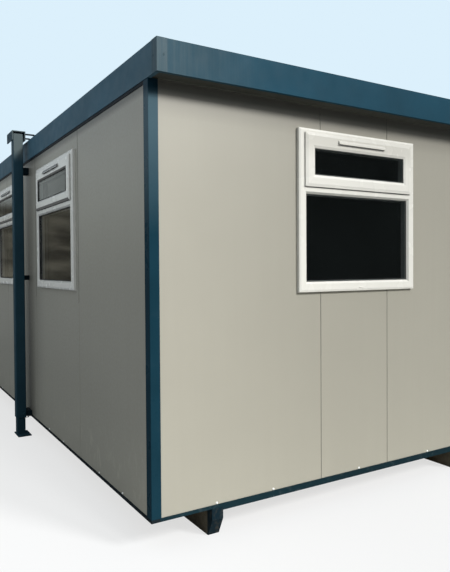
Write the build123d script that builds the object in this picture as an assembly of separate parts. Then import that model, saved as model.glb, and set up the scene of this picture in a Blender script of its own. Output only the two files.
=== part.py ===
"""Portable site cabin: a panelled, flat-roofed body on two runners with four telescopic jacking legs.

Millimetres. X runs along the cabin, +Z is up and the ground is Z = 0. Each wall is drawn in its own local
frame: x along the wall, y inwards from the outer line, z up from the underside of the base rail.
"""
from build123d import *
import os

# --- body ---------------------------------------------------------------------------------------------
LENGTH = 9760              # over the corner trims
WIDTH = 3050               # over the corner trims
BODY_HEIGHT = 2600         # underside of base rail to top of fascia
RUNNER_DROP = 172          # ground to underside of base rail

# --- walls --------------------------------------------------------------------------------------------
PANEL_WIDTH = 1220
PANEL_THICKNESS = 50
PANEL_GAP = 0.4            # butt joint between two panels
GROOVE = 3                 # bevel on each side of a panel joint
TRIM_THICKNESS = 4
TRIM_LAP = 6               # corner trim over the end wall's first panel
TRIM_RADIUS = 3
RAIL_HEIGHT = 20
EAVES_STRIP = 21

# --- roof ---------------------------------------------------------------------------------------------
FASCIA_HEIGHT = 178
FASCIA_THICKNESS = 25
FASCIA_TOP_GAP = 10        # roof skin edge below the fascia top
END_OVERHANG = 121
SIDE_OVERHANG = 3
CAP_THICKNESS = 2
CAP_WIDTH = 62
CAP_DIMPLE = (13, 1.4, 42)  # rivet dimple: diameter, depth and distance from the corner
SOFFIT_RISE = 6            # soffit above the fascia's lower edge
SOFFIT_THICKNESS = 12
ROOF_SKIN = 18
CEILING_THICKNESS = 18

# --- base ---------------------------------------------------------------------------------------------
RUNNER_WIDTH = 75
RUNNER_INSET = 386         # trim line to the runner's outer face
TOE_DROP = 67              # upright part of the runner's end
TOE_BACK = 50              # how far the toe rakes back at the ground
END_BEAM_DROP = 20         # end beam hangs this far below the base rail
END_BEAM_DEPTH = 50
JOIST_HEIGHT = 100
JOIST_WIDTH = 45
JOIST_PITCH = 610
DECK_THICKNESS = 18

# --- windows ------------------------------------------------------------------------------------------
WINDOW_WIDTH = 1049
WINDOW_HEIGHT = 1035
WINDOW_SILL = 1237         # underside of base rail to underside of window
SIDE_WINDOWS = (1274, 3024)        # from the nearest corner; mirrored to the other half of the wall
REAR_WINDOWS = (1274,)
END_WINDOW = 1027
FRAME_FACE = 44            # frame left showing beside the sash
FRAME_PROUD = 20           # frame face in front of the trim line
FRAME_INNER_PROUD = 8      # frame back behind the wall's inner face
FRAME_BEVEL = (13, 4.5)    # width and depth of the sloping outer edge
GLASS_THICKNESS = 24
LIGHT_FACE = 52            # frame face beside and below the fixed light
LIGHT_HEAD = 32            # frame face between the fixed light and the sash
LIGHT_BEAD = (14, 14)      # width and depth of the sloping glazing bead
SASH_HEIGHT = 340
SASH_TOP_GAP = 26          # window top to sash top
SASH_FACE = 59
SASH_HEAD = 80             # sash face above the glass, carrying the vent hood
SASH_PROUD = 15            # sash in front of the frame's face
SASH_BEVEL = (19, 5)
SASH_BEAD = (17, 6)
SASH_GAP = 3               # shadow gap between sash and frame, closed by the seal
SEAL_INSET = 5             # seal line inside the sash's edge
LAP = 8                    # sash lap over the frame around its opening
SASH_CLEARANCE = 3         # sash body inside the frame's opening
VENT_LENGTH = 420
VENT_HEIGHT = 24
VENT_DEPTH = 12
VENT_RISE = 41             # vent hood above the sash glass

# --- door ---------------------------------------------------------------------------------------------
DOOR_OFFSET = 5010         # rear wall, from the right-hand end
DOOR_WIDTH = 960
DOOR_HEIGHT = 2080
DOOR_FRAME_FACE = 50
DOOR_FRAME_PROUD = 6
DOOR_LEAF = 40
DOOR_SETBACK = 2           # leaf behind the trim line
DOOR_STOP = 16             # rebate that the leaf closes against
DOOR_GAP = 3

# --- jacking legs -------------------------------------------------------------------------------------
LEG_OFFSET = 2720          # cabin end to leg centre
LEG_SIDE = 90
LEG_WALL = 5
LEG_RADIUS = 8
LEG_STANDOFF = 45          # trim line to the leg's inner face
LEG_TOP = 2680             # underside of the saddle, above the underside of the base rail
HEAD_SLOT = 20             # open slot between the column and the saddle
INNER_SIDE = 76
INNER_WALL = 5
INNER_RADIUS = 6
INNER_LENGTH = 1900
GUIDE_HEIGHT = 60          # guide collar inside the foot of the column
GUIDE_CLEARANCE = 0.3
FOOT_LENGTH = 180
FOOT_WIDTH = 120
FOOT_THICKNESS = 10
FOOT_SHIFT = 20            # foot plate's centre from the leg's, towards the cabin
SADDLE_LENGTH = 232        # folded channel over the leg's head, flush with the leg on the cabin-end side
SADDLE_REACH = 23          # saddle past the leg's inner face
SADDLE_DEPTH = 86
SADDLE_PLATE = 8
SADDLE_HOLE = 20
SADDLE_HOLES = (50, 176)   # from the saddle's near end
TIE_WIDTH = 34             # straps from the saddle to the roof
TIE_PLATE = 8
TIE_DROP = 18              # strap below the saddle's top
TIE_SPAN = 85              # level part past the saddle
TIE_FOOT = 60              # flat part bolted to the roof
BRACKETS = (               # height above base rail, height, width at the wall, width at the leg, plate
    (8, 54, 150, 104, 8), (1293, 44, 40, 40, 5), (2288, 60, 90, 90, 6))

# --- what follows from them ---------------------------------------------------------------------------
WALL_TOP = BODY_HEIGHT - FASCIA_HEIGHT
WALL_INNER = TRIM_THICKNESS + PANEL_THICKNESS
TRIM_WIDTH = WALL_INNER + TRIM_LAP
DECK_TOP = JOIST_HEIGHT + DECK_THICKNESS
FRAME_DEPTH = FRAME_PROUD + WALL_INNER + FRAME_INNER_PROUD
ROOM_X, ROOM_Y = LENGTH / 2 - WALL_INNER, WIDTH / 2 - WALL_INNER
FASCIA_X, FASCIA_Y = LENGTH / 2 + END_OVERHANG, WIDTH / 2 + SIDE_OVERHANG
ROOF_X, ROOF_Y = FASCIA_X - FASCIA_THICKNESS, FASCIA_Y - FASCIA_THICKNESS
ROOF_TOP = BODY_HEIGHT - FASCIA_TOP_GAP
CORNER_ANGLES = {(1, 1): 0, (-1, 1): 90, (-1, -1): 180, (1, -1): 270}
CORNER_NAMES = {(1, -1): "front_right", (1, 1): "rear_right", (-1, -1): "front_left", (-1, 1): "rear_left"}
STANDING = (Align.CENTER, Align.CENTER, Align.MIN)
BASE = Pos(0, 0, RUNNER_DROP)


# --- shapes used more than once -----------------------------------------------------------------------
def block(x, y, z):
    """A slab from three (low, high) pairs."""
    size = [high - low for low, high in (x, y, z)]
    return Pos(x[0], y[0], z[0]) * Box(*size, align=(Align.MIN,) * 3)


def grow(span, amount):
    return (span[0] - amount, span[1] + amount)


def bevelled(x, z, y, inset):
    """A slab in the wall plane, x by z at its back face y[1] and inset all round at its front face y[0]."""
    faces = []
    for depth, edge in ((y[0], -inset), (y[1], 0)):
        (x0, x1), (z0, z1) = grow(x, edge), grow(z, edge)
        faces.append(Plane.XZ.offset(-depth) * Pos((x0 + x1) / 2, (z0 + z1) / 2) * Rectangle(x1 - x0, z1 - z0))
    return loft(faces)


def frame_ring(x, z, y, face):
    """A rectangular ring in the wall plane: outer x and z ranges, depth range y, member width face."""
    return block(x, y, z) - block(grow(x, -face), y, grow(z, -face))


def square_tube(side, radius, hole, hole_radius, z):
    """An upright hollow section with rounded corners."""
    section = RectangleRounded(side, side, radius) - RectangleRounded(hole, hole, hole_radius)
    return extrude(Pos(0, 0, z[0]) * section, z[1] - z[0])


def corner_angle(width, thickness, radius, height):
    """An upright folded angle with its outer corner at the origin, legs towards -X and -Y."""
    angle = Rectangle(width, width, align=(Align.MAX, Align.MAX))
    angle = fillet(angle.vertices().group_by(Axis.X)[-1].group_by(Axis.Y)[-1], radius)
    angle -= Pos(-thickness, -thickness) * Rectangle(width, width, align=(Align.MAX, Align.MAX))
    return extrude(angle, height)


def on_corners(solid, x, y, z):
    """The same solid turned onto the four corners at (x, y)."""
    return [Pos(end * x, side * y, z) * Rot(0, 0, turn) * solid for (end, side), turn in CORNER_ANGLES.items()]


# --- walls --------------------------------------------------------------------------------------------
def mirrored(offsets, length, width):
    return sorted([*offsets, *(length - offset - width for offset in offsets)])


# Wall name: (length, local frame, window offsets, door offset)
WALLS = {
    "front": (LENGTH, Location((-LENGTH / 2, -WIDTH / 2, RUNNER_DROP), (0, 0, 0)),
              mirrored(SIDE_WINDOWS, LENGTH, WINDOW_WIDTH), None),
    "right_end": (WIDTH, Location((LENGTH / 2, -WIDTH / 2, RUNNER_DROP), (0, 0, 90)), [END_WINDOW], None),
    "rear": (LENGTH, Location((LENGTH / 2, WIDTH / 2, RUNNER_DROP), (0, 0, 180)),
             mirrored(REAR_WINDOWS, LENGTH, WINDOW_WIDTH), DOOR_OFFSET),
    "left_end": (WIDTH, Location((-LENGTH / 2, WIDTH / 2, RUNNER_DROP), (0, 0, 270)), [END_WINDOW], None),
}
LONG_WALLS = ("front", "rear")


def panel_joints(length):
    """Whole panels from both ends, any filler panel in the middle."""
    count = int(length // PANEL_WIDTH)
    near = [PANEL_WIDTH * (i + 1) for i in range((count + 1) // 2)]
    far = [length - PANEL_WIDTH * (i + 1) for i in range(count // 2)]
    joints = []
    for joint in sorted(near + far):
        if not joints or joint - joints[-1] > GROOVE:
            joints.append(joint)
    return [j for j in joints if TRIM_WIDTH < j < length - TRIM_WIDTH]


def wall_slab(start, end, z, groove_start, groove_end):
    """One upright slab of wall, bevelled where a panel joint is."""
    low = start + (PANEL_GAP / 2 if groove_start else 0)
    high = end - (PANEL_GAP / 2 if groove_end else 0)
    y0, y1 = TRIM_THICKNESS, WALL_INNER
    points = [(low, y1), (low, y0 + GROOVE), (low + GROOVE, y0)] if groove_start else [(low, y1), (low, y0)]
    points += [(high - GROOVE, y0), (high, y0 + GROOVE), (high, y1)] if groove_end else [(high, y0), (high, y1)]
    outline = make_face(Polyline(*points, close=True))
    return Pos(0, 0, z[0]) * extrude(outline, z[1] - z[0])


def wall_pieces(length, windows, door, is_long):
    """Full-height panels, and the panels under and over each opening."""
    start = TRIM_THICKNESS if is_long else WALL_INNER
    joints = panel_joints(length)
    holes = [(w, w + WINDOW_WIDTH, WINDOW_SILL, WINDOW_SILL + WINDOW_HEIGHT) for w in windows]
    if door is not None:
        holes.append((door, door + DOOR_WIDTH, DECK_TOP, DECK_TOP + DOOR_HEIGHT))
    cuts = sorted({start, length - start, *joints, *(h[0] for h in holes), *(h[1] for h in holes)})
    full, infill = [], []
    for low, high in zip(cuts, cuts[1:]):
        grooves = (low in joints, high in joints)
        hole = next((h for h in holes if h[0] <= low and high <= h[1]), None)
        if hole is None:
            full.append(wall_slab(low, high, (RAIL_HEIGHT, WALL_TOP), *grooves))
        else:
            infill.append(wall_slab(low, high, (RAIL_HEIGHT, hole[2]), *grooves))
            infill.append(wall_slab(low, high, (hole[3], WALL_TOP), *grooves))
    return full, infill


# --- windows and door ---------------------------------------------------------------------------------
def eased_slab(x, z, y, bevel):
    """A slab in the wall plane with a bevel of (width, depth) round its front face."""
    step = y[0] + bevel[1]
    return bevelled(x, z, (y[0], step), bevel[0]) + block(x, (step, y[1]), z)


def glazed_opening(x, z, y, bead):
    """The hole inside a glazing bead, tapering to the glass and straight behind it, and its sealed glass unit."""
    width, depth = bead
    glass_x, glass_z = grow(x, -width), grow(z, -width)
    rebate = y[0] + depth
    hole = bevelled(glass_x, glass_z, (y[0], rebate), -width) + block(glass_x, (rebate, y[1]), glass_z)
    return hole, block(glass_x, (rebate, rebate + GLASS_THICKNESS), glass_z)


def vent_hood(centre, z, face):
    """Trickle vent hood: shallow at the top, deepest just above its open lower edge."""
    profile = Polyline((0, 0), (-VENT_DEPTH, 0), (-VENT_DEPTH, VENT_HEIGHT / 3),
                       (-VENT_DEPTH / 3, VENT_HEIGHT), (0, VENT_HEIGHT), close=True)
    hood = extrude(Plane.YZ * make_face(profile), VENT_LENGTH)
    return Pos(centre - VENT_LENGTH / 2, face, z) * hood


def window_parts(offset):
    """Frame, sash, both panes and vent hood of one top-hung window over a fixed light."""
    x = (offset, offset + WINDOW_WIDTH)
    z = (WINDOW_SILL, WINDOW_SILL + WINDOW_HEIGHT)
    front = -FRAME_PROUD
    back = front + FRAME_DEPTH
    sash_x = grow(x, -FRAME_FACE)
    sash_z = (z[1] - SASH_TOP_GAP - SASH_HEIGHT, z[1] - SASH_TOP_GAP)
    opening_x, opening_z = grow(sash_x, -LAP), grow(sash_z, -LAP)
    light_x, light_z = grow(x, -LIGHT_FACE), (z[0] + LIGHT_FACE, sash_z[0] - LIGHT_HEAD)

    light_hole, fixed_glass = glazed_opening(light_x, light_z, (front, back), LIGHT_BEAD)
    frame = eased_slab(x, z, (front, back), FRAME_BEVEL)
    frame -= block(opening_x, (front, back), opening_z)
    frame -= light_hole

    face = front - SASH_PROUD
    flange = front - SASH_GAP
    glazed_x, glazed_z = grow(sash_x, -SASH_FACE), (sash_z[0] + SASH_FACE, sash_z[1] - SASH_HEAD)
    sash_hole, sash_glass = glazed_opening(glazed_x, glazed_z, (face, back), SASH_BEAD)
    sash = eased_slab(sash_x, sash_z, (face, flange), SASH_BEVEL)
    sash += block(grow(sash_x, -SEAL_INSET), (flange, front), grow(sash_z, -SEAL_INSET))
    sash += block(grow(opening_x, -SASH_CLEARANCE), (front, back), grow(opening_z, -SASH_CLEARANCE))
    sash -= sash_hole

    hood = vent_hood((x[0] + x[1]) / 2, glazed_z[1] - SASH_BEAD[0] + VENT_RISE, face)
    return frame, sash, fixed_glass, sash_glass, hood


def door_parts(offset):
    """Frame, leaf and lever handle of the door in the rear wall."""
    x = (offset, offset + DOOR_WIDTH)
    z = (DECK_TOP, DECK_TOP + DOOR_HEIGHT)
    depth = (-DOOR_FRAME_PROUD, WALL_INNER + DOOR_FRAME_PROUD)
    leaf_y = (DOOR_SETBACK, DOOR_SETBACK + DOOR_LEAF)
    frame = frame_ring(x, z, depth, DOOR_FRAME_FACE)
    frame += frame_ring(x, z, (leaf_y[1], depth[1]), DOOR_FRAME_FACE + DOOR_STOP)
    leaf_x, leaf_z = grow(x, -DOOR_FRAME_FACE - DOOR_GAP), grow(z, -DOOR_FRAME_FACE - DOOR_GAP)
    leaf = block(leaf_x, leaf_y, leaf_z)
    handle_x, handle_z = leaf_x[0] + 70, leaf_z[0] + 950
    plate_y = (leaf_y[0] - 6, leaf_y[0])
    plate = bevelled((handle_x - 20, handle_x + 20), (handle_z, handle_z + 220), plate_y, 3)
    spindle_z = handle_z + 150
    spindle = Pos(handle_x, plate_y[0], spindle_z) * Rot(90, 0, 0) * Cylinder(9, 44, align=STANDING)
    lever = Pos(handle_x - 9, plate_y[0] - 44, spindle_z) * Rot(0, 90, 0) * Cylinder(9, 125, align=STANDING)
    return frame, leaf, plate + spindle + lever


# --- base ---------------------------------------------------------------------------------------------
def runner(side):
    """Runner along the cabin with a raked toe at each end."""
    end = LENGTH / 2
    toe = RUNNER_DROP - TOE_DROP
    half = [(end, RUNNER_DROP), (end, toe), (end - TOE_BACK, 0)]
    outline = half + [(-x, z) for x, z in reversed(half)]
    bar = extrude(Plane.XZ * make_face(Polyline(*outline, close=True)), RUNNER_WIDTH / 2, both=True)
    return Pos(0, side * (WIDTH / 2 - RUNNER_INSET - RUNNER_WIDTH / 2), 0) * bar


def floor_joists():
    span = 2 * (ROOM_Y - JOIST_WIDTH)
    run = 2 * ROOM_X - JOIST_WIDTH
    count = int(run // JOIST_PITCH) + 1
    joist = Box(JOIST_WIDTH, span, JOIST_HEIGHT, align=STANDING)
    return [BASE * Pos(-run / 2 + i * run / count, 0, 0) * joist for i in range(count + 1)]


# --- jacking legs, drawn for the corner with +X and +Y and mirrored to the others --------------------------
LEG_X = LENGTH / 2 - LEG_OFFSET
LEG_INNER_Y = WIDTH / 2 + LEG_STANDOFF
LEG_Y = LEG_INNER_Y + LEG_SIDE / 2
SADDLE_X = (LEG_X + LEG_SIDE / 2 - SADDLE_LENGTH, LEG_X + LEG_SIDE / 2)
SADDLE_Y = (LEG_INNER_Y - SADDLE_REACH, LEG_INNER_Y + LEG_SIDE + SADDLE_PLATE)
SADDLE_Z = (LEG_TOP + SADDLE_PLATE - SADDLE_DEPTH, LEG_TOP + SADDLE_PLATE)


def on_corner(solid, end, side):
    """Mirrors a solid drawn at the +X +Y corner to another one."""
    if end < 0:
        solid = mirror(solid, Plane.YZ)
    return solid if side > 0 else mirror(solid, Plane.XZ)


def leg_column():
    """Fixed outer tube of a jacking leg with the guide collar in its foot and the saddle over its head."""
    tube = square_tube(LEG_SIDE, LEG_RADIUS, LEG_SIDE - 2 * LEG_WALL, LEG_RADIUS - LEG_WALL,
                       (0, LEG_TOP - HEAD_SLOT))
    guide = square_tube(LEG_SIDE - LEG_WALL, LEG_RADIUS - LEG_WALL / 2, INNER_SIDE + 2 * GUIDE_CLEARANCE,
                        INNER_RADIUS + GUIDE_CLEARANCE, (0, GUIDE_HEIGHT))
    saddle = block(SADDLE_X, SADDLE_Y, SADDLE_Z)
    saddle -= block(SADDLE_X, grow(SADDLE_Y, -SADDLE_PLATE), (SADDLE_Z[0], SADDLE_Z[1] - SADDLE_PLATE))
    column = Pos(LEG_X, LEG_Y, 0) * (tube + guide) + saddle
    for offset in SADDLE_HOLES:
        hole = Cylinder(SADDLE_HOLE / 2, 2 * (SADDLE_PLATE + LEG_WALL))
        column -= Pos(SADDLE_X[1] - offset, SADDLE_Y[1], sum(SADDLE_Z) / 2) * Rot(90, 0, 0) * hole
    return BASE * column


def inner_leg():
    """Sliding inner tube with its foot plate."""
    tube = square_tube(INNER_SIDE, INNER_RADIUS, INNER_SIDE - 2 * INNER_WALL, INNER_RADIUS - INNER_WALL,
                       (FOOT_THICKNESS, INNER_LENGTH))
    foot = Box(FOOT_LENGTH, FOOT_WIDTH, FOOT_THICKNESS, align=STANDING)
    return Pos(LEG_X, LEG_Y, 0) * (tube + Pos(0, -FOOT_SHIFT, 0) * foot)


def wall_bracket(low, height, wall_width, leg_width, plate):
    """A box of plate from the wall to the leg, tapering in plan and open underneath."""
    wall_y = WIDTH / 2 - (0 if low < RAIL_HEIGHT else TRIM_THICKNESS)

    def plan(inset):
        half = [((wall_width / 2) - inset, wall_y + inset), (leg_width / 2 - inset, LEG_INNER_Y - inset)]
        return make_face(Polyline(*half, *((-x, y) for x, y in reversed(half)), close=True))

    return BASE * Pos(LEG_X, 0, low) * (extrude(plan(0), height) - extrude(plan(plate), height - plate))


def roof_tie(centre):
    """A strap from the saddle over the fascia, cranked down and bolted to the roof."""
    start = SADDLE_Y[0]
    top, foot = SADDLE_Z[1] - TIE_DROP, ROOF_TOP + TIE_PLATE
    fall = top - foot
    upper = [(start, top), (start - TIE_SPAN, top), (start - TIE_SPAN - fall, foot),
             (start - TIE_SPAN - fall - TIE_FOOT, foot)]
    lower = [(y + shift, z - TIE_PLATE) for (y, z), shift in zip(upper, (0, TIE_PLATE / 2, TIE_PLATE / 2, 0))]
    outline = make_face(Polyline(*upper, *reversed(lower), close=True))
    return BASE * Pos(centre - TIE_WIDTH / 2, 0, 0) * extrude(Plane.YZ * outline, TIE_WIDTH)


def leg_fixings():
    """Wall brackets and roof ties of one leg."""
    ties = [roof_tie(x) for x in (SADDLE_X[1] - TIE_WIDTH / 2 - 8, SADDLE_X[0] + TIE_WIDTH / 2 + 8)]
    return [wall_bracket(*sizes) for sizes in BRACKETS] + ties


# --- assembly -----------------------------------------------------------------------------------------
def save(name, *solids):
    export_step(solids[0] if len(solids) == 1 else Compound(children=list(solids)), f"parts/{name}.step")


def save_walls():
    glazing = {kind: [] for kind in ("frames", "sashes", "fixed_glass", "sash_glass", "vents")}
    for name, (length, place, windows, door) in WALLS.items():
        full, infill = wall_pieces(length, windows, door, name in LONG_WALLS)
        save(f"{name}_wall", *(place * s for s in full))
        save(f"{name}_wall_infills", *(place * s for s in infill))
        for offset in windows:
            for kind, solid in zip(glazing, window_parts(offset)):
                glazing[kind].append(place * solid)
        if door is not None:
            for kind, solid in zip(("frame", "leaf", "handle"), door_parts(door)):
                save(f"door_{kind}", place * solid)
    for kind, solids in glazing.items():
        save(f"window_{kind}", *solids)


def save_trims():
    rails = {True: [], False: []}
    eaves = []
    for name, (length, place, _, _) in WALLS.items():
        is_long = name in LONG_WALLS
        ends = 0 if is_long else WALL_INNER
        rails[is_long].append(place * block((ends, length - ends), (0, WALL_INNER), (0, RAIL_HEIGHT)))
        if is_long:
            eaves.append(place * block((TRIM_WIDTH, length - TRIM_WIDTH), (0, TRIM_THICKNESS),
                                       (WALL_TOP - EAVES_STRIP, WALL_TOP)))
    save("side_base_rails", *rails[True])
    save("end_base_rails", *rails[False])
    save("eaves_strips", *eaves)
    trim = corner_angle(TRIM_WIDTH, TRIM_THICKNESS, TRIM_RADIUS, WALL_TOP - RAIL_HEIGHT)
    save("corner_trims", *on_corners(trim, LENGTH / 2, WIDTH / 2, RUNNER_DROP + RAIL_HEIGHT))


def save_base():
    rim = Box(2 * ROOM_X, JOIST_WIDTH, JOIST_HEIGHT, align=STANDING)
    save("floor_side_rims", *(BASE * Pos(0, side * (ROOM_Y - JOIST_WIDTH / 2), 0) * rim for side in (-1, 1)))
    save("floor_joists", *floor_joists())
    save("floor_deck", BASE * block((-ROOM_X, ROOM_X), (-ROOM_Y, ROOM_Y), (JOIST_HEIGHT, DECK_TOP)))
    beam = Box(END_BEAM_DEPTH, 2 * (WIDTH / 2 - RUNNER_INSET - RUNNER_WIDTH), END_BEAM_DROP, align=STANDING)
    save("chassis_end_beams", *(BASE * Pos(end * (LENGTH / 2 - END_BEAM_DEPTH / 2), 0, -END_BEAM_DROP) * beam
                                for end in (1, -1)))
    save("front_runner", runner(-1))
    save("rear_runner", runner(1))


def save_roof():
    room = ((-ROOM_X, ROOM_X), (-ROOM_Y, ROOM_Y))
    fascia_z = (WALL_TOP, BODY_HEIGHT)
    skin_z = (ROOF_TOP - ROOF_SKIN, ROOF_TOP)
    soffit_z = (WALL_TOP + SOFFIT_RISE, WALL_TOP + SOFFIT_RISE + SOFFIT_THICKNESS)
    end_fascias, side_fascias, soffits = [], [], []
    for way in (1, -1):
        end_fascias.append(BASE * block(sorted((way * ROOF_X, way * FASCIA_X)), (-FASCIA_Y, FASCIA_Y), fascia_z))
        side_fascias.append(BASE * block((-ROOF_X, ROOF_X), sorted((way * ROOF_Y, way * FASCIA_Y)), fascia_z))
        soffits.append(BASE * block(sorted((way * LENGTH / 2, way * ROOF_X)), (-ROOF_Y, ROOF_Y), soffit_z))
    save("end_fascias", *end_fascias)
    save("side_fascias", *side_fascias)
    save("end_soffits", *soffits)
    save("roof_skin", BASE * block((-ROOF_X, ROOF_X), (-ROOF_Y, ROOF_Y), skin_z))
    save("roof_frame", BASE * block((-LENGTH / 2, LENGTH / 2), (-ROOF_Y, ROOF_Y), (WALL_TOP, skin_z[0])))
    save("ceiling", BASE * block(*room, (WALL_TOP - CEILING_THICKNESS, WALL_TOP)))
    cap = corner_angle(CAP_WIDTH, CAP_THICKNESS, CAP_THICKNESS, FASCIA_HEIGHT)
    diameter, depth, along = CAP_DIMPLE
    dimple = Cylinder(diameter / 2, 2 * depth)
    cap -= Pos(0, -along, FASCIA_HEIGHT / 2) * Rot(0, 90, 0) * dimple
    cap -= Pos(-along, 0, FASCIA_HEIGHT / 2) * Rot(90, 0, 0) * dimple
    save("fascia_corner_caps",
         *on_corners(cap, FASCIA_X + CAP_THICKNESS, FASCIA_Y + CAP_THICKNESS, RUNNER_DROP + WALL_TOP))


def save_legs():
    column, inner, fixings = leg_column(), inner_leg(), leg_fixings()
    placed = []
    for corner, name in CORNER_NAMES.items():
        save(f"{name}_leg_column", on_corner(column, *corner))
        save(f"{name}_inner_leg", on_corner(inner, *corner))
        placed += [on_corner(solid, *corner) for solid in fixings]
    save("leg_brackets", *placed)


os.makedirs("parts", exist_ok=True)
save_walls()
save_trims()
save_base()
save_roof()
save_legs()
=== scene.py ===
"""Looks of a portable site cabin: its finishes, seals, fixings and roof, and the studio that it stands in."""
import math

import bmesh
import bpy
from bpy.props import FloatProperty, FloatVectorProperty, IntProperty, PointerProperty
from bpy.types import NodeSocket, Operator, PropertyGroup
from bpy.types import Panel as SidebarPanel
from mathutils import Matrix, Vector


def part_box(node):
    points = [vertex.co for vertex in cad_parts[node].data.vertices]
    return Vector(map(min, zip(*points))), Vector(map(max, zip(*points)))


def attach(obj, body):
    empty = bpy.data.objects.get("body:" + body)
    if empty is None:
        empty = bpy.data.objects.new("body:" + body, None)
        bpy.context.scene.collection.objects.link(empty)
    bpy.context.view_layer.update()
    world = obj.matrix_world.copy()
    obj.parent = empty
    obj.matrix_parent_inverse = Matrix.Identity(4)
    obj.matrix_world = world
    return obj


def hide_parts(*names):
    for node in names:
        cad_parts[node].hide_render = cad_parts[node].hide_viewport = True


bl_info = {
    "name": "Portable site cabin",
    "version": (1, 0, 0),
    "blender": (4, 5, 0),
    "location": "View3D > Sidebar > Cabin",
    "description": "Finishes, seals, fixings and studio for a panelled site cabin on jacking legs",
    "category": "Object",
}

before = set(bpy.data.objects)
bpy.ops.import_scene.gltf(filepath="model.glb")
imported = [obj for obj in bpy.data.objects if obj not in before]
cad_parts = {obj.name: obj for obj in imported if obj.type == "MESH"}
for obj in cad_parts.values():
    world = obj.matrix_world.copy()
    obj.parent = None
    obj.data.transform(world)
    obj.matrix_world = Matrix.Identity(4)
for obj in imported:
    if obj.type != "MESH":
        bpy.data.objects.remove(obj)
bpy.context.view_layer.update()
CABIN = "cabin"
LEGS = ("front_right", "rear_right", "front_left", "rear_left")
PANES = ("window_fixed_glass", "window_sash_glass")
QUARTER_TURN = math.radians(90)


# --- sizes and colours that a user would change ---
def number(name, description, default, **options):
    return FloatProperty(name=name, description=description, default=default, **options)


def length(name, description, default, **limits):
    return number(name, description, default, unit="LENGTH", subtype="DISTANCE", precision=4, **limits)


def colour(name, description, default):
    return FloatVectorProperty(name=name, description=description, default=default, size=3, min=0, max=1,
                               subtype="COLOR")


class CabinColours(PropertyGroup):
    """Finish colours, linear."""
    panel: colour("Wall panel", "Plastic-coated steel of the walls", (0.315, 0.297, 0.244))
    blue: colour("Blue paint", "End fascias, door and runner ends", (0.0035, 0.036, 0.058))
    steel: colour("Leg paint", "Legs, their saddles and welds", (0.0190, 0.048, 0.065))
    bracket: colour("Bracket paint", "Brackets and roof ties of the legs", (0.0045, 0.010, 0.013))
    # paler than the end fascias' blue: the side fascias' paint with the sky's sheen painted in
    side_fascia_sheen: colour("Side fascia paint and sheen", "Side fascias", (0.040, 0.095, 0.130))
    trim: colour("Trim paint", "Folded trims on the upright corners", (0.0062, 0.0272, 0.0410))
    rail: colour("Rail paint", "End base rails and the chassis end beams", (0.0042, 0.0175, 0.0235))
    side_rail: colour("Side rail paint", "Base rails of the long walls", (0.0095, 0.0145, 0.0175))
    upvc: colour("Window frame", "White uPVC", (0.672, 0.652, 0.590))
    glass: colour("Glass", "Body tint of the panes", (0.004, 0.005, 0.005))
    spacer: colour("Spacer", "Aluminium spacer inside a sealed unit", (0.50, 0.54, 0.51))
    soffit: colour("Soffit", "Underside of the end overhangs", (0.0615, 0.0615, 0.0492))
    # near-black: the eaves strip's paint and painted shade under the side fascias
    eaves: colour("Eaves strip", "Strip under the side fascias", (0.004, 0.007, 0.011))
    rust: colour("Rust", "Brown steel where runner paint is worn", (0.075, 0.066, 0.048))
    timber: colour("Floor timber", "Joists, rims and deck", (0.36, 0.24, 0.13))
    roof: colour("Roof", "Coated roof sheet", (0.20, 0.21, 0.22))
    lining: colour("Ceiling", "Vinyl-faced ceiling board", (0.70, 0.70, 0.67))
    rubber: colour("Seal", "Window, door and joint seals", (0.018, 0.018, 0.018))
    # dark, so the roof timber showing under each end soffit reads as a dark line
    framing: colour("Roof framing", "Dark roof timbers", (0.045, 0.036, 0.026))
    zinc: colour("Fixings", "Zinc-plated bolts", (0.45, 0.45, 0.44))
    screw: colour("Screw cap", "Capped wall screws", (0.85, 0.85, 0.82))


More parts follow.
